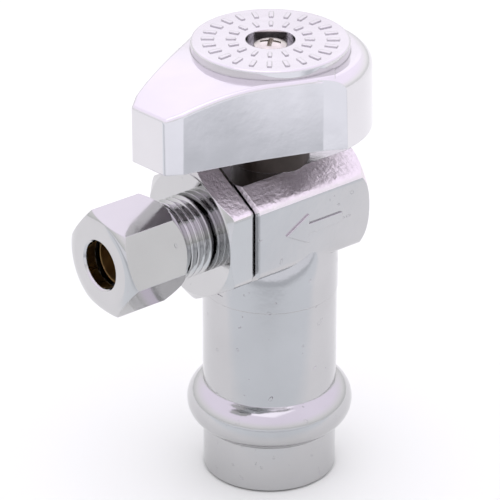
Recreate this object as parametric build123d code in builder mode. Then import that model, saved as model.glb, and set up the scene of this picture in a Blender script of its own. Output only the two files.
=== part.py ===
from build123d import *
from math import cos, radians, sin
import os

# Quarter-turn angle stop valve. Origin: centre of the inlet mouth, +Z up the inlet,
# +X out of the outlet. All lengths in millimetres.

# ---- inlet socket tube ----
tube_r = 9.2
forged_r = 9.3
socket_r = 8.03
socket_depth = 19.5
bead_bottom = 7.26
bead_top = 13.27
bead_r = 11.44
groove_bottom = 8.75
groove_top = 11.85
groove_r = 10.15
inlet_ring_r = 8.99
inlet_ring_section = 1.12
passage_r = 4.0
step_z = 27.8
shoulder_z = 31.5
shoulder_top = 35.9

# ---- hexagonal cross body ----
port_z = 39.7
hex_half = 8.73
hex_round = 1.5
end_round = 2.6
end_face_r = 7.4
body_back = -10.55
body_front = 8.87
seam_x = 9.2
cavity_r = 6.0
cavity_back = -7.6
tail_bore_r = 6.9
tail_start = 4.6
arrow_height = 0.25

# ---- bonnet ----
top_flat_z = 46.9
bonnet_r = 5.3
bonnet_top = 54.3
stem_bore_r = 3.45
collar_bore_r = 4.3
collar_bore_top = 47.2
lug_r = 7.7
lug_half = 1.2

# ---- outlet adapter ----
tail_r = 6.8
adapter_back_edge = 10.2
adapter_round = 1.2
adapter_face = 13.86
adapter_face_r = 8.85
thread_r = 5.5
thread_root_r = 4.92
thread_pitch = 1.0583
nose_end = 22.5
outlet_r = 2.5
tube_stop_x = 14.5
tube_bore_r = 3.22
cone_start = 20.2
cone_mouth_r = 4.3
seat_pocket_r = 5.2
seat_pocket_x = 6.2

# ---- ball, seats and rings ----
ball_r = 5.6
seat_sphere_r = 5.63
slot_width = 2.6
slot_floor = 42.8
seat_face = 3.9

# ---- stem ----
shank_r = 3.4
collar_r = 4.2
tongue_width = 2.4
tongue_bottom = 42.9
collar_bottom = 45.8
collar_top = 46.7
drive_bottom = 54.5
drive_top = 58.8
drive_half = 2.4
ring_groove_r = 2.25
lower_groove_z = 48.7
upper_groove_z = 51.1
groove_half = 0.7

# ---- handle ----
lever_angle = 4.74
handle_bottom = 52.3
handle_top = 62.7
hub_top = 62.5
hub_r = 13.66
disc_r = 10.58
disc_top = 63.95
wall = 1.6
hub_ceiling = 60.6
lever_ceiling = 58.0
boss_r = 5.0
boss_bottom = 54.7
recess_r = 3.3
recess_floor = 61.2
screw_hole_r = 1.6
mark_height = 0.15
rib_start = 6.3
stop_gap_angle = 23.0

# ---- screw ----
screw_head_r = 2.2
screw_head_top = 63.75
screw_shank_r = 1.4
cross_turn = 38.0
screw_end = 54.9

# ---- compression nut and sleeve ----
nut_half = 6.35
nut_corner_angle = 50.9
nut_back = 18.9
nut_front = 28.7
nut_hole_r = 3.3
nut_bore_r = 5.62
sleeve_back = 20.9
sleeve_front = 26.2
sleeve_r = 4.15
sleeve_bore_r = 3.2

lever_dir = Vector(cos(radians(lever_angle)), sin(radians(lever_angle)), 0)


def level(z):
    """Horizontal plane at height z, with its x axis along the lever."""
    return Plane(origin=(0, 0, z), x_dir=lever_dir, z_dir=(0, 0, 1))


def across(x):
    """Plane square to the outlet axis at x: its own x is +Y, its own y is +Z."""
    return Plane(origin=(x, 0, port_z), x_dir=(0, 1, 0), z_dir=(1, 0, 0))


# side view of the outlet line: its own x is +X, its own y is the radius
outlet_side = Plane(origin=(0, 0, port_z), x_dir=(1, 0, 0), z_dir=(0, -1, 0))
outlet_axis = Axis((0, 0, port_z), (1, 0, 0))

# ---------------------------------------------------------------- valve body
with BuildPart() as cross_body:
    with BuildSketch(across(body_back)) as body_hex:
        RegularPolygon(hex_half, 6, major_radius=False, rotation=30)
        fillet(body_hex.vertices(), hex_round)
    extrude(amount=body_front - body_back)
    # rounded closed end
    with BuildSketch(outlet_side):
        with BuildLine():
            Line((body_back, 0), (body_back, end_face_r))
            RadiusArc((body_back, end_face_r), (body_back + end_round, end_face_r + end_round),
                      end_round)
            Polyline((body_back + end_round, end_face_r + end_round), (body_back + end_round, 12),
                     (body_front, 12), (body_front, 0), (body_back, 0))
        make_face()
    revolve(axis=outlet_axis, mode=Mode.INTERSECT)

with BuildPart() as valve_body:
    # socket tube with its O-ring bead, turned about Z
    with BuildSketch(Plane.XZ):
        with BuildLine():
            Polyline((0, 0), (tube_r - 0.3, 0), (tube_r, 0.3), (tube_r, bead_bottom - 0.35))
            Line((tube_r, bead_bottom - 0.35), (tube_r + 0.25, bead_bottom))
            ThreePointArc((tube_r + 0.25, bead_bottom), (bead_r, 10.3), (tube_r + 0.25, bead_top))
            Polyline((tube_r + 0.25, bead_top), (tube_r, bead_top + 0.15), (tube_r, step_z),
                     (forged_r, step_z + 0.12), (forged_r, shoulder_z))
            ThreePointArc((forged_r, shoulder_z), (forged_r - 0.16, shoulder_z + 2.4),
                          (forged_r - 0.6, shoulder_top))
            Polyline((forged_r - 0.6, shoulder_top), (0, shoulder_top), (0, 0))
        make_face()
    revolve(axis=Axis.Z)
    # hexagonal cross body
    add(cross_body.part)
    # narrow bevel down to the seam with the adapter
    with BuildSketch(across(body_front)) as bevel_hex:
        RegularPolygon(hex_half, 6, major_radius=False, rotation=30)
        fillet(bevel_hex.vertices(), hex_round)
    extrude(amount=seam_x - body_front, taper=60)
    # the tube's shoulder is faced off level with the seam
    with BuildSketch(across(seam_x)):
        Rectangle(24, 21)
    extrude(amount=2, mode=Mode.SUBTRACT)
    # top flat around the foot of the bonnet
    with BuildSketch(Plane.XY.offset(top_flat_z)):
        Rectangle(40, 20)
    extrude(amount=5, mode=Mode.SUBTRACT)
    # bonnet
    with BuildSketch(Plane.XY.offset(44)):
        Circle(bonnet_r)
    extrude(amount=bonnet_top - 44)
    bonnet_rim = valve_body.faces().sort_by(Axis.Z)[-1].edges()
    chamfer(bonnet_rim, 0.4)
    # stop lug on the side of the bonnet, away from the outlet
    with BuildSketch(Plane.XY.offset(52.7)):
        with Locations((-lug_r / 2, 0)):
            Rectangle(lug_r, 2 * lug_half)
    extrude(amount=1.4)
    # raised flow arrow on the front flat
    with BuildSketch(Plane(origin=(-0.6, hex_half - 0.2, port_z), x_dir=(1, 0, 0),
                           z_dir=(0, 1, 0))):
        with BuildLine():
            Polyline((-4.6, -0.7), (1.2, -0.7), (1.2, -2.1), (5.0, 0), (1.2, 2.1), (1.2, 0.7),
                     (-4.6, 0.7), close=True)
        make_face()
    extrude(amount=arrow_height + 0.2)
    # tube socket, O-ring groove and inlet passage
    with BuildSketch(Plane.XZ):
        with BuildLine():
            Polyline((0, -1), (socket_r, -1), (socket_r, groove_bottom),
                     (groove_r, groove_bottom + 0.5),
                     (groove_r, groove_top - 0.5), (socket_r, groove_top),
                     (socket_r, socket_depth), (passage_r + 0.6, socket_depth),
                     (passage_r, socket_depth + 0.6), (passage_r, port_z), (0, port_z), close=True)
        make_face()
    revolve(axis=Axis.Z, mode=Mode.SUBTRACT)
    # ball chamber along X, opened wider for the adapter's tail
    with BuildSketch(outlet_side):
        with BuildLine():
            Polyline((cavity_back, 0), (cavity_back, cavity_r), (tail_start - 0.1, cavity_r),
                     (tail_start - 0.1, tail_bore_r), (seam_x + 1, tail_bore_r), (seam_x + 1, 0),
                     close=True)
        make_face()
    revolve(axis=outlet_axis, mode=Mode.SUBTRACT)
    # stem bore and the wider bore of its collar
    with BuildSketch(Plane.XY.offset(43.5)):
        Circle(collar_bore_r)
    extrude(amount=collar_bore_top - 43.5, mode=Mode.SUBTRACT)
    with BuildSketch(Plane.XY.offset(collar_bore_top - 0.5)):
        Circle(stem_bore_r)
    extrude(amount=bonnet_top - collar_bore_top + 1, mode=Mode.SUBTRACT)

# ---------------------------------------------------------------- outlet adapter
with BuildPart() as outlet_adapter:
    # bevel from the seam, then the hexagon
    with BuildSketch(across(adapter_back_edge)) as adapter_hex:
        RegularPolygon(hex_half, 6, major_radius=False, rotation=30)
        fillet(adapter_hex.vertices(), adapter_round)
    extrude(amount=adapter_face - adapter_back_edge)
    with BuildSketch(across(adapter_back_edge)) as adapter_bevel:
        RegularPolygon(hex_half, 6, major_radius=False, rotation=30)
        fillet(adapter_bevel.vertices(), adapter_round)
    extrude(amount=-(adapter_back_edge - seam_x), taper=38)
    # turned corner chamfer towards the thread
    with BuildSketch(outlet_side):
        with BuildLine():
            Polyline((seam_x, 0), (seam_x, 12), (adapter_face - 1.9, 12),
                     (adapter_face - 0.12, adapter_face_r), (adapter_face, adapter_face_r - 0.12),
                     (adapter_face, 0), close=True)
        make_face()
    revolve(axis=outlet_axis, mode=Mode.INTERSECT)
    # tail inside the body, with the groove of its O-ring
    with BuildSketch(outlet_side):
        with BuildLine():
            Polyline((tail_start, 0), (tail_start, tail_r - 0.3), (tail_start + 0.3, tail_r),
                     (7.4, tail_r), (7.4, 5.85), (8.7, 5.85), (8.7, tail_r), (seam_x, tail_r),
                     (seam_x + 0.5, tail_r), (seam_x + 0.5, 0), close=True)
        make_face()
    revolve(axis=outlet_axis)
    # threaded nose: ring-shaped ridges stand for the thread
    with BuildSketch(outlet_side):
        with BuildLine():
            Polyline((adapter_face - 0.5, 0), (adapter_face - 0.5, thread_root_r),
                     (nose_end - 0.4, thread_root_r), (nose_end, thread_root_r - 0.4),
                     (nose_end, 0), close=True)
        make_face()
    revolve(axis=outlet_axis)
    ridge_count = int((nose_end - 0.3 - adapter_face) / thread_pitch)
    for ridge in range(ridge_count):
        ridge_x = adapter_face + 0.62 + ridge * thread_pitch
        with BuildSketch(outlet_side):
            with BuildLine():
                Polyline((ridge_x - 0.44, thread_root_r - 0.1), (ridge_x - 0.42, thread_root_r),
                         (ridge_x - 0.09, thread_r), (ridge_x + 0.09, thread_r),
                         (ridge_x + 0.42, thread_root_r), (ridge_x + 0.44, thread_root_r - 0.1),
                         close=True)
            make_face()
        revolve(axis=outlet_axis)
    # waterway, tube socket with its cone mouth, and the pocket of the outlet seat
    with BuildSketch(outlet_side):
        with BuildLine():
            Polyline((tail_start - 1, 0), (tail_start - 1, seat_pocket_r),
                     (seat_pocket_x, seat_pocket_r), (seat_pocket_x, outlet_r),
                     (tube_stop_x, outlet_r), (tube_stop_x, tube_bore_r), (cone_start, tube_bore_r),
                     (cone_start + 2.1, cone_mouth_r), (nose_end + 1, cone_mouth_r),
                     (nose_end + 1, 0), close=True)
        make_face()
    revolve(axis=outlet_axis, mode=Mode.SUBTRACT)

# ---------------------------------------------------------------- seats
bore_contact_x = (seat_sphere_r**2 - outlet_r**2) ** 0.5
face_contact_r = (seat_sphere_r**2 - seat_face**2) ** 0.5

with BuildPart() as outlet_seat:
    with BuildSketch(outlet_side):
        with BuildLine():
            RadiusArc((bore_contact_x, outlet_r), (seat_face, face_contact_r), -seat_sphere_r)
            Polyline((seat_face, face_contact_r), (seat_face, seat_pocket_r - 0.35),
                     (seat_face + 0.3, seat_pocket_r - 0.05), (seat_pocket_x, seat_pocket_r - 0.05),
                     (seat_pocket_x, outlet_r), (bore_contact_x, outlet_r))
        make_face()
    revolve(axis=outlet_axis)

with BuildPart() as rear_seat:
    with BuildSketch(outlet_side):
        with BuildLine():
            RadiusArc((-bore_contact_x, outlet_r), (-seat_face, face_contact_r), seat_sphere_r)
            Polyline((-seat_face, face_contact_r), (-seat_face, cavity_r - 0.05),
                     (-6.2, cavity_r - 0.05), (-6.2, outlet_r), (-bore_contact_x, outlet_r))
        make_face()
    revolve(axis=outlet_axis)

with BuildPart() as seat_backing_oring:
    with BuildSketch(outlet_side):
        with Locations((-6.92, 5.2)):
            Circle(0.68)
    revolve(axis=outlet_axis)

with BuildPart() as adapter_oring:
    with BuildSketch(outlet_side):
        with Locations((8.05, 6.37)):
            Circle(0.51)
    revolve(axis=outlet_axis)

with BuildPart() as inlet_oring:
    with BuildSketch(Plane.XZ):
        with Locations((inlet_ring_r, 10.3)):
            Circle(inlet_ring_section)
    revolve(axis=Axis.Z)

# ---------------------------------------------------------------- ball
with BuildPart() as ball:
    with Locations((0, 0, port_z)):
        Sphere(ball_r)
    # L-shaped port: from below and out to the side
    with BuildSketch(Plane.XY.offset(port_z - 6)):
        Circle(outlet_r)
    extrude(amount=6, mode=Mode.SUBTRACT)
    with BuildSketch(across(0)):
        Circle(outlet_r)
    extrude(amount=6, mode=Mode.SUBTRACT)
    with Locations((0, 0, port_z)):
        Sphere(outlet_r, mode=Mode.SUBTRACT)
    # drive slot across the top
    with BuildSketch(Plane.XY.offset(slot_floor)):
        Rectangle(12, slot_width)
    extrude(amount=4, mode=Mode.SUBTRACT)

# ---------------------------------------------------------------- stem and its rings
with BuildPart() as stem:
    with BuildSketch(Plane.XZ):
        with BuildLine():
            Polyline((0, collar_bottom), (collar_r, collar_bottom), (collar_r, collar_top),
                     (shank_r, collar_top), (shank_r, lower_groove_z - groove_half),
                     (ring_groove_r, lower_groove_z - groove_half),
                     (ring_groove_r, lower_groove_z + groove_half),
                     (shank_r, lower_groove_z + groove_half),
                     (shank_r, upper_groove_z - groove_half),
                     (ring_groove_r, upper_groove_z - groove_half),
                     (ring_groove_r, upper_groove_z + groove_half),
                     (shank_r, upper_groove_z + groove_half), (shank_r, drive_top - 0.3),
                     (shank_r - 0.3, drive_top), (0, drive_top), close=True)
        make_face()
    revolve(axis=Axis.Z)
    # double-D drive for the handle
    for side in (-1, 1):
        with BuildSketch(Plane.XY.offset(drive_bottom)):
            with Locations((0, side * (drive_half + 2))):
                Rectangle(10, 4)
        extrude(amount=drive_top - drive_bottom + 1, mode=Mode.SUBTRACT)
    # tongue for the ball's slot
    with BuildSketch(Plane.XY.offset(tongue_bottom)):
        Rectangle(6.8, tongue_width)
    extrude(amount=collar_bottom - tongue_bottom + 0.2)
    # screw hole
    with BuildSketch(Plane.XY.offset(screw_end - 0.5)):
        Circle(screw_shank_r + 0.05)
    extrude(amount=6, mode=Mode.SUBTRACT)

with BuildPart() as stem_oring_lower:
    with BuildSketch(Plane.XZ):
        with Locations((2.84, lower_groove_z)):
            Circle(0.57)
    revolve(axis=Axis.Z)

with BuildPart() as stem_oring_upper:
    with BuildSketch(Plane.XZ):
        with Locations((2.84, upper_groove_z)):
            Circle(0.57)
    revolve(axis=Axis.Z)

with BuildPart() as stem_thrust_washer:
    with BuildSketch(Plane.XY.offset(collar_top + 0.02)):
        Circle(collar_r - 0.05)
        Circle(shank_r + 0.05, mode=Mode.SUBTRACT)
    extrude(amount=0.46)

# ---------------------------------------------------------------- handle
tip_half = 3.2
tip_corner = (19.95, 4.5)
lever_side = [tip_corner, (16.7, 5.64), (11.56, 7.5), (4.95, 10.4), (1.9, 11.85)]
lever_root = (0.5, 12.5)
flare_front = (2.6, 11.4)
hub_start = (-0.9, 13.63)

with BuildPart() as lever:
    with BuildSketch(level(handle_bottom)):
        with BuildLine():
            Polyline((21.95, -tip_half), (21.95, tip_half), tip_corner)
            Spline(lever_side)
            Polyline(lever_side[-1], lever_root, (-3, 9), (-3, -9), (lever_root[0], -lever_root[1]),
                     (lever_side[-1][0], -lever_side[-1][1]))
            Spline([(x, -y) for x, y in reversed(lever_side)])
            Line((tip_corner[0], -tip_corner[1]), (21.95, -tip_half))
        make_face()
    extrude(amount=12)
    # top surface: level over the hub, bending down towards the tip
    with BuildSketch(Plane(origin=(0, 0, 0), x_dir=lever_dir,
                           z_dir=(lever_dir.Y, -lever_dir.X, 0))):
        with BuildLine():
            Line((-15, handle_top - 0.1), (8, handle_top))
            ThreePointArc((8, handle_top), (16.7, 61.7), (23, 59.6))
            Polyline((23, 59.6), (23, handle_bottom), (-15, handle_bottom), (-15, handle_top - 0.1))
        make_face()
    extrude(amount=16, both=True, mode=Mode.INTERSECT)
    upright = lever.edges().filter_by(Axis.Z).filter_by(
        lambda e: level(0).to_local_coords(e.center()).X > 19)
    fillet(upright, 0.8)
    top_rim = lever.faces().filter_by(lambda f: f.normal_at().Z > 0.5).edges().filter_by(
        lambda e: level(0).to_local_coords(e.center()).X > 1.5 and (
            abs(level(0).to_local_coords(e.center()).Y) > 0.001 or e.center().Z < 61))
    fillet(top_rim, 0.6)

with BuildPart() as handle:
    # round hub with a well rounded top edge, cut back where it meets the lever's sides
    with BuildSketch(level(handle_bottom)):
        Circle(hub_r)
    extrude(amount=hub_top - handle_bottom, taper=1)
    fillet(handle.faces().sort_by(Axis.Z)[-1].edges(), 2.0)
    with BuildSketch(level(handle_bottom)):
        with BuildLine():
            Polyline((0, 9.5), flare_front, hub_start, (-6, 16), (-16, 16), (-16, -16), (-6, -16),
                     (hub_start[0], -hub_start[1]), (flare_front[0], -flare_front[1]), (0, -9.5),
                     (0, 9.5))
        make_face()
    extrude(amount=12, mode=Mode.INTERSECT)
    add(lever.part)
    # raised disc
    with BuildSketch(level(handle_top - 1)):
        Circle(disc_r)
    extrude(amount=disc_top - handle_top + 1)
    fillet(handle.faces().sort_by(Axis.Z)[-1].edges(), 0.3)
    # raised marks on the disc: an outer and an inner ring of plain ticks
    with BuildSketch(level(disc_top - 0.2)):
        with PolarLocations(8.3, 24):
            Rectangle(1.7, 0.6)
        with PolarLocations(5.2, 16):
            Rectangle(1.3, 0.5)
    extrude(amount=mark_height + 0.2)
    # hollow underside
    with BuildSketch(level(handle_bottom)):
        with BuildLine():
            Polyline((20.3, -2.4), (20.3, 2.4), (19.0, 3.2), (11.0, 6.0), (4.3, 8.9), (0.5, 10.7),
                     (-1.5, 11.85))
            ThreePointArc((-1.5, 11.85), (-(hub_r - wall - 0.12), 0), (-1.5, -11.85))
            Polyline((-1.5, -11.85), (0.5, -10.7), (4.3, -8.9), (11.0, -6.0), (19.0, -3.2),
                     (20.3, -2.4))
        make_face()
    extrude(amount=lever_ceiling - handle_bottom, mode=Mode.SUBTRACT)
    with BuildSketch(level(handle_bottom)):
        Circle(9.6)
    extrude(amount=hub_ceiling - handle_bottom, mode=Mode.SUBTRACT)
    # boss around the stem
    with BuildSketch(level(boss_bottom)):
        Circle(boss_r)
    extrude(amount=hub_ceiling - boss_bottom + 0.5)
    # stop ribs that meet the bonnet's lug at the two ends of the quarter turn
    for rib_angle, rib_end in ((180 - stop_gap_angle, 12.6), (270 + stop_gap_angle, 10.9)):
        with BuildSketch(Plane.XY.offset(52.9)):
            with Locations(Location((0, 0, 0), (0, 0, rib_angle))):
                with Locations(((rib_start + rib_end) / 2, 0)):
                    Rectangle(rib_end - rib_start, 2.0)
        extrude(amount=hub_ceiling - 52.9 + 0.3)
    # double-D socket on the stem
    with BuildSketch(Plane.XY.offset(boss_bottom - 1)):
        Circle(shank_r + 0.02)
        for side in (-1, 1):
            with Locations((0, side * (drive_half + 0.02 + 2))):
                Rectangle(10, 4, mode=Mode.SUBTRACT)
    extrude(amount=drive_top + 0.1 - boss_bottom + 1, mode=Mode.SUBTRACT)
    # screw recess and hole
    with BuildSketch(Plane.XY.offset(recess_floor)):
        Circle(recess_r)
    extrude(amount=5, mode=Mode.SUBTRACT)
    with BuildSketch(Plane.XY.offset(drive_top - 0.5)):
        Circle(screw_hole_r)
    extrude(amount=recess_floor - drive_top + 1, mode=Mode.SUBTRACT)

# ---------------------------------------------------------------- handle screw
with BuildPart() as handle_screw:
    with BuildSketch(Plane.XZ):
        with BuildLine():
            Polyline((0, screw_end), (screw_shank_r - 0.3, screw_end),
                     (screw_shank_r, screw_end + 0.3), (screw_shank_r, recess_floor),
                     (screw_head_r, recess_floor), (screw_head_r, screw_head_top - 0.55))
            ThreePointArc((screw_head_r, screw_head_top - 0.55),
                          (screw_head_r * 0.62, screw_head_top - 0.18), (0, screw_head_top))
            Line((0, screw_head_top), (0, screw_end))
        make_face()
    revolve(axis=Axis.Z)
    with BuildSketch(level(screw_head_top - 1.1)):
        Rectangle(2.8, 0.6, rotation=cross_turn)
        Rectangle(0.6, 2.8, rotation=cross_turn)
        Circle(0.5)
    extrude(amount=2, mode=Mode.SUBTRACT)

# ---------------------------------------------------------------- compression sleeve
with BuildPart() as compression_sleeve:
    with BuildSketch(outlet_side):
        with BuildLine():
            Polyline((sleeve_back, sleeve_bore_r), (sleeve_back, 3.35), (22.5, sleeve_r),
                     (24.6, sleeve_r), (sleeve_front, 3.4), (sleeve_front, sleeve_bore_r),
                     close=True)
        make_face()
    revolve(axis=outlet_axis)

# ---------------------------------------------------------------- compression nut
with BuildPart() as compression_nut:
    with BuildSketch(across(nut_back)):
        RegularPolygon(nut_half, 6, major_radius=False, rotation=nut_corner_angle)
    extrude(amount=nut_front - nut_back)
    with BuildSketch(outlet_side):
        with BuildLine():
            Polyline((nut_front, 4.6), (nut_front, 0), (nut_back, 0), (nut_back, nut_half - 0.15),
                     (nut_back + 1.3, 7.34), (nut_front - 0.85, 7.34))
            ThreePointArc((nut_front - 0.85, 7.34), (nut_front - 0.3, 6.5), (nut_front, 4.6))
        make_face()
    revolve(axis=outlet_axis, mode=Mode.INTERSECT)
    with BuildSketch(outlet_side):
        with BuildLine():
            Polyline((nut_back - 1, 0), (nut_back - 1, nut_bore_r + 0.3),
                     (nut_back, nut_bore_r + 0.3), (nut_back + 0.4, nut_bore_r),
                     (23.4, nut_bore_r), (24.4, 4.65), (26.6, 3.6), (27.0, nut_hole_r),
                     (nut_front - 0.25, nut_hole_r), (nut_front, nut_hole_r + 0.25),
                     (nut_front + 1, nut_hole_r + 0.25), (nut_front + 1, 0), close=True)
        make_face()
    revolve(axis=outlet_axis, mode=Mode.SUBTRACT)

# ---------------------------------------------------------------- files
pieces = {
    "valve_body": valve_body,
    "outlet_adapter": outlet_adapter,
    "adapter_oring": adapter_oring,
    "outlet_seat": outlet_seat,
    "rear_seat": rear_seat,
    "seat_backing_oring": seat_backing_oring,
    "inlet_oring": inlet_oring,
    "ball": ball,
    "stem": stem,
    "stem_oring_lower": stem_oring_lower,
    "stem_oring_upper": stem_oring_upper,
    "stem_thrust_washer": stem_thrust_washer,
    "handle": handle,
    "handle_screw": handle_screw,
    "compression_sleeve": compression_sleeve,
    "compression_nut": compression_nut,
}
os.makedirs("parts", exist_ok=True)
for name, piece in pieces.items():
    piece.part.label = name
    export_step(piece.part, f"parts/{name}.step")
    box = piece.part.bounding_box()
    print(name, "solids", len(piece.part.solids()), "volume", round(piece.part.volume, 1),
          "box", [round(v, 2) for v in (*box.min, *box.max)])
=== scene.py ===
import bpy, math
from mathutils import Matrix, Vector

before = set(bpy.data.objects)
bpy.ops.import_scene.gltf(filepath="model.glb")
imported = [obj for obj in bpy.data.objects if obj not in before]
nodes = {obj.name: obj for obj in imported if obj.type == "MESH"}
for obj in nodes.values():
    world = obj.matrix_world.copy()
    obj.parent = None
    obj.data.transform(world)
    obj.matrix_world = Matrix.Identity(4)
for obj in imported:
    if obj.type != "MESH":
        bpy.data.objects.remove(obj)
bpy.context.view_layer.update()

# ---------------------------------------------------------------- camera
azimuth, elevation, distance = math.radians(140.867), math.radians(26.83), 0.450
target = Vector((0.002089, -0.001699, 0.03283))
back = Vector((math.sin(azimuth) * math.cos(elevation), -math.cos(azimuth) * math.cos(elevation),
               math.sin(elevation)))
cam_data = bpy.data.cameras.new("camera")
cam_data.sensor_width = 36
cam_data.lens = 238.34
cam_data.clip_start = 0.01
camera = bpy.data.objects.new("camera", cam_data)
bpy.context.collection.objects.link(camera)
right = Vector((math.cos(azimuth), math.sin(azimuth), 0))
up = back.cross(right)
turn = Matrix((right, up, back)).transposed().to_4x4()
camera.matrix_world = Matrix.Translation(target + back * distance) @ turn
bpy.context.scene.camera = camera

# ---------------------------------------------------------------- light and floor
def area(name, place, aim, size, power, color=(1, 1, 1)):
    data = bpy.data.lights.new(name, "AREA")
    data.shape = "RECTANGLE"
    data.size, data.size_y = size
    data.energy = power
    data.color = color
    lamp = bpy.data.objects.new(name, data)
    lamp.location = place
    lamp.rotation_euler = (Vector(aim) - Vector(place)).to_track_quat("-Z", "Y").to_euler()
    bpy.context.collection.objects.link(lamp)
    return lamp


bpy.context.scene.view_settings.view_transform = "Standard"
centre = (0.003, 0, 0.035)
area("back_key", (-0.35, -0.55, 0.60), centre, (0.7, 0.5), 0.15)
area("top", (0.1, 0.05, 0.8), centre, (0.5, 0.5), 0.35)

world = bpy.data.worlds.new("tent")
bpy.context.scene.world = world
world.use_nodes = True
wn, wl = world.node_tree.nodes, world.node_tree.links
wn.clear()
coord = wn.new("ShaderNodeTexCoord")
split = wn.new("ShaderNodeSeparateXYZ")
ramp = wn.new("ShaderNodeValToRGB")
bg = wn.new("ShaderNodeBackground")
out = wn.new("ShaderNodeOutputWorld")
wl.new(coord.outputs["Generated"], split.inputs[0])
wl.new(split.outputs["Z"], ramp.inputs["Fac"])
wl.new(ramp.outputs["Color"], bg.inputs["Color"])
wl.new(bg.outputs[0], out.inputs[0])
ramp.color_ramp.elements[0].position = 0.0
ramp.color_ramp.elements[0].color = (0.60, 0.61, 0.61, 1)
ramp.color_ramp.elements[1].position = 0.55
ramp.color_ramp.elements[1].color = (0.92, 0.845, 0.985, 1)
middle = ramp.color_ramp.elements.new(0.25)
middle.color = (0.83, 0.81, 0.84, 1)
bg.inputs["Strength"].default_value = 1.30

bpy.ops.mesh.primitive_plane_add(size=6)
floor = bpy.context.object
floor.name = "floor"
floor_mat = bpy.data.materials.new("floor")
floor_mat.use_nodes = True
ft = floor_mat.node_tree
fb = ft.nodes["Principled BSDF"]
fb.inputs["Roughness"].default_value = 0.9
fb.inputs["Specular IOR Level"].default_value = 0.1
# towards the viewer, in front of what the camera frames, the floor has greyer bands: painted shade
# standing in for contact shadow, placed so the chrome reflects darker tones
place = ft.nodes.new("ShaderNodeTexCoord")
towards = ft.nodes.new("ShaderNodeVectorMath")
towards.operation = "DOT_PRODUCT"
towards.inputs[1].default_value = (0.631, 0.776, 0.0)
nearer = ft.nodes.new("ShaderNodeMapRange")
nearer.inputs["From Min"].default_value = 0.0
nearer.inputs["From Max"].default_value = 0.2
painted_shade_bands = ft.nodes.new("ShaderNodeValToRGB")
shade_band_stops = [(0.075, (0.89, 0.94, 0.86)), (0.14, (0.78, 0.86, 0.81)), (0.30, (0.76, 0.84, 0.79)),
         (0.40, (0.52, 0.575, 0.544)), (0.49, (0.52, 0.575, 0.544)), (0.575, (0.84, 0.91, 0.86)),
         (1.0, (0.84, 0.91, 0.86))]
for at, color in shade_band_stops[1:-1]:
    painted_shade_bands.color_ramp.elements.new(at)
for stop, (at, color) in zip(painted_shade_bands.color_ramp.elements, shade_band_stops):
    stop.position = at
    stop.color = (*color, 1)
ft.links.new(place.outputs["Object"], towards.inputs[0])
ft.links.new(towards.outputs["Value"], nearer.inputs["Value"])
ft.links.new(nearer.outputs["Result"], painted_shade_bands.inputs["Fac"])
ft.links.new(painted_shade_bands.outputs["Color"], fb.inputs["Base Color"])
floor.data.materials.append(floor_mat)

# ---------------------------------------------------------------- materials
def material(name):
    m = bpy.data.materials.new(name)
    m.use_nodes = True
    t = m.node_tree
    return m, t, t.nodes["Principled BSDF"]


def noise(t, scale, detail=2.0, stretch=None):
    """Noise in the part's own coordinates; scale is in cycles per metre."""
    c = t.nodes.new("ShaderNodeTexCoord")
    n = t.nodes.new("ShaderNodeTexNoise")
    n.inputs["Scale"].default_value = scale
    n.inputs["Detail"].default_value = detail
    if stretch:
        m = t.nodes.new("ShaderNodeMapping")
        m.inputs["Scale"].default_value = stretch
        t.links.new(c.outputs["Object"], m.inputs["Vector"])
        t.links.new(m.outputs["Vector"], n.inputs["Vector"])
    else:
        t.links.new(c.outputs["Object"], n.inputs["Vector"])
    return n.outputs["Fac"]


def ranged(t, value, low, high, from_low=0.3, from_high=0.7):
    r = t.nodes.new("ShaderNodeMapRange")
    r.inputs["From Min"].default_value = from_low
    r.inputs["From Max"].default_value = from_high
    r.inputs["To Min"].default_value = low
    r.inputs["To Max"].default_value = high
    t.links.new(value, r.inputs["Value"])
    return r.outputs["Result"]


def bump(t, height, distance, previous=None, strength=1.0):
    b = t.nodes.new("ShaderNodeBump")
    b.inputs["Strength"].default_value = strength
    b.inputs["Distance"].default_value = distance
    t.links.new(height, b.inputs["Height"])
    if previous is not None:
        t.links.new(previous, b.inputs["Normal"])
    return b.outputs["Normal"]


def rounded(t, radius):
    b = t.nodes.new("ShaderNodeBevel")
    b.samples = 4
    b.inputs["Radius"].default_value = radius
    return b.outputs["Normal"]


def painted_crease_shade(t, color, reach=0.0005):
    """Darken a colour in the inside corners by ambient occlusion: painted shade in the creases."""
    ao = t.nodes.new("ShaderNodeAmbientOcclusion")
    ao.samples = 6
    ao.inputs["Distance"].default_value = reach
    mix = t.nodes.new("ShaderNodeMix")
    mix.data_type = "RGBA"
    # near-black colour of the painted crease shade
    mix.inputs[6].default_value = (0.10, 0.095, 0.10, 1)
    t.links.new(ranged(t, ao.outputs["AO"], 0, 1, 0.35, 0.68), mix.inputs[0])
    t.links.new(color, mix.inputs[7])
    return mix.outputs[2]


def plated(name, color, rough, peel, grain, edge=0.00015, pits=0.0, cells=700):
    """Bright plating: colour, roughness range, heights of the waviness and the fine grain,
    and the noise level above which the forging shows a pit (0 for none)."""
    m, t, b = material(name)
    b.inputs["Metallic"].default_value = 1.0
    tint = t.nodes.new("ShaderNodeMix")
    tint.data_type = "RGBA"
    tint.inputs[6].default_value = (*color, 1)
    tint.inputs[7].default_value = (*[c * 0.94 for c in color], 1)
    t.links.new(ranged(t, noise(t, 120, 3), 0, 1), tint.inputs[0])
    # the base colour gets painted shade in its inside corners
    t.links.new(painted_crease_shade(t, tint.outputs[2]), b.inputs["Base Color"])
    t.links.new(ranged(t, noise(t, 260, 4), *rough), b.inputs["Roughness"])
    n = rounded(t, edge)
    n = bump(t, noise(t, cells, 2), peel, n)
    n = bump(t, noise(t, 4000, 3), grain, n)
    if pits:
        n = bump(t, ranged(t, noise(t, 900, 1), 1, 0, pits, pits + 0.02), 0.00012, n)
    t.links.new(n, b.inputs["Normal"])
    return m


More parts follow.
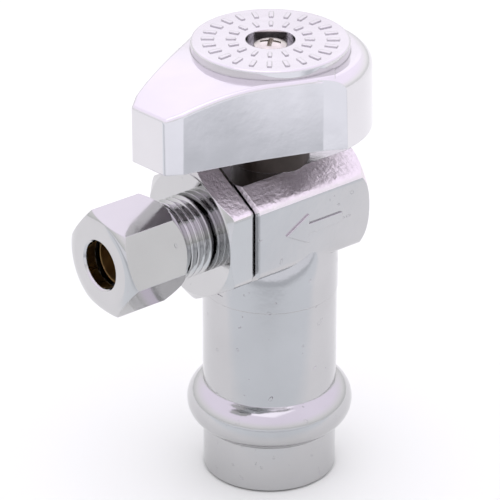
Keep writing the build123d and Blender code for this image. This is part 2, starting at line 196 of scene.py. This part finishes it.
def plain(name, color, metallic, rough, grain, scale=3000, edge=0.0001):
    m, t, b = material(name)
    b.inputs["Metallic"].default_value = metallic
    mix = t.nodes.new("ShaderNodeMix")
    mix.data_type = "RGBA"
    mix.inputs[6].default_value = (*color, 1)
    mix.inputs[7].default_value = (*[c * 0.8 for c in color], 1)
    t.links.new(ranged(t, noise(t, 900, 3), 0, 1), mix.inputs[0])
    t.links.new(mix.outputs[2], b.inputs["Base Color"])
    t.links.new(ranged(t, noise(t, 500, 3), *rough), b.inputs["Roughness"])
    n = rounded(t, edge)
    t.links.new(bump(t, noise(t, scale, 3), grain, n), b.inputs["Normal"])
    return m


chrome_color = (0.565, 0.565, 0.57)
body_chrome = plated("body_chrome", chrome_color, (0.07, 0.16), 0.00002, 0.000001, pits=0.74)
# brighter pinkish colour than the other plating: painted light on faces that tilt up to the sky; the
# rougher orange-peel skin is the forging's own
forged_chrome_painted_light = plated("forged_chrome_painted_light", (0.88, 0.83, 0.86), (0.30, 0.50), 0.00011, 0.000006,
                       cells=1900)
turned_chrome = plated("turned_chrome", (0.59, 0.59, 0.59), (0.06, 0.12), 0.000004, 0.000001,
                       pits=0.76)
handle_chrome = plated("handle_chrome", (0.745, 0.735, 0.75), (0.07, 0.17), 0.000008, 0.000001, 0.0002)
# near-black: painted shade for the gap under the handle, not the metal's own colour
bonnet_painted_shade = plain("bonnet_painted_shade", (0.035, 0.024, 0.018), 0.3, (0.35, 0.5), 0.00001)
brass = plain("raw_brass", (0.72, 0.50, 0.22), 1.0, (0.25, 0.4), 0.000004)
steel = plain("stainless", (0.77, 0.735, 0.68), 1.0, (0.22, 0.34), 0.000003)
rubber = plain("epdm", (0.015, 0.015, 0.016), 0.0, (0.5, 0.65), 0.000006)
ptfe = plain("ptfe", (0.88, 0.88, 0.86), 0.0, (0.4, 0.5), 0.000004)

finish = {
    "valve_body": body_chrome, "outlet_adapter": turned_chrome, "compression_nut": turned_chrome,
    "handle": handle_chrome, "ball": turned_chrome, "handle_screw": steel, "stem": brass,
    "compression_sleeve": brass, "adapter_oring": rubber, "seat_backing_oring": rubber,
    "inlet_oring": rubber, "stem_oring_lower": rubber, "stem_oring_upper": rubber,
    "outlet_seat": ptfe, "rear_seat": ptfe, "stem_thrust_washer": ptfe,
}
for name, m in finish.items():
    o = nodes[name]
    o.data.materials.clear()
    o.data.materials.append(m)

# the handle's hollow underside is left as cast: duller
cast = plain("as_cast", (0.78, 0.74, 0.77), 0.5, (0.35, 0.5), 0.00001, 2500)
half_width = [(22.0, 3.2), (19.95, 4.5), (16.7, 5.64), (11.56, 7.5), (4.95, 10.4), (1.9, 11.85),
              (-0.9, 13.6)]
lever_turn = math.radians(4.74)


def side_of_lever(u):
    for (u1, w1), (u0, w0) in zip(half_width, half_width[1:]):
        if u0 <= u <= u1:
            return w0 + (w1 - w0) * (u - u0) / (u1 - u0)
    return 0.0


def in_hollow(p):
    x, y, z = p.x * 1000, p.y * 1000, p.z * 1000
    u = x * math.cos(lever_turn) + y * math.sin(lever_turn)
    v = -x * math.sin(lever_turn) + y * math.cos(lever_turn)
    inside = math.hypot(u, v) < 12.6 if u < -0.9 else u < 20.9 and abs(v) < side_of_lever(u) - 0.9
    return inside and (52.35 < z < 58.2 or (math.hypot(u, v) < 9.8 and 52.35 < z < 60.7))


handle = nodes["handle"]
handle.data.materials.append(cast)
for face in handle.data.polygons:
    face.material_index = 1 if in_hollow(face.center) else 0


# the body: plated, with a coarser forged skin painted lighter on the slanted faces, and a near-black
# bonnet that is painted shade under the handle
def body_skin(p, normal):
    if p.z * 1000 > 46.2 and math.hypot(p.x, p.y) * 1000 < 7.8 and abs(normal.z) < 0.3:
        return 2
    return 1 if 0.2 < normal.z < 0.95 and p.z * 1000 > 40 else 0


adapter = nodes["outlet_adapter"]
adapter.data.materials.append(forged_chrome_painted_light)
for face in adapter.data.polygons:
    # upward slanted faces take the lighter forged colour, which is painted light
    slanted = 0.4 < face.normal.z < 0.95 and abs(face.normal.x) < 0.02
    face.material_index = 1 if slanted and 0.0095 < face.center.x < 0.0136 else 0
body = nodes["valve_body"]
for m in (forged_chrome_painted_light, bonnet_painted_shade):
    body.data.materials.append(m)
for face in body.data.polygons:
    face.material_index = body_skin(face.center, face.normal)
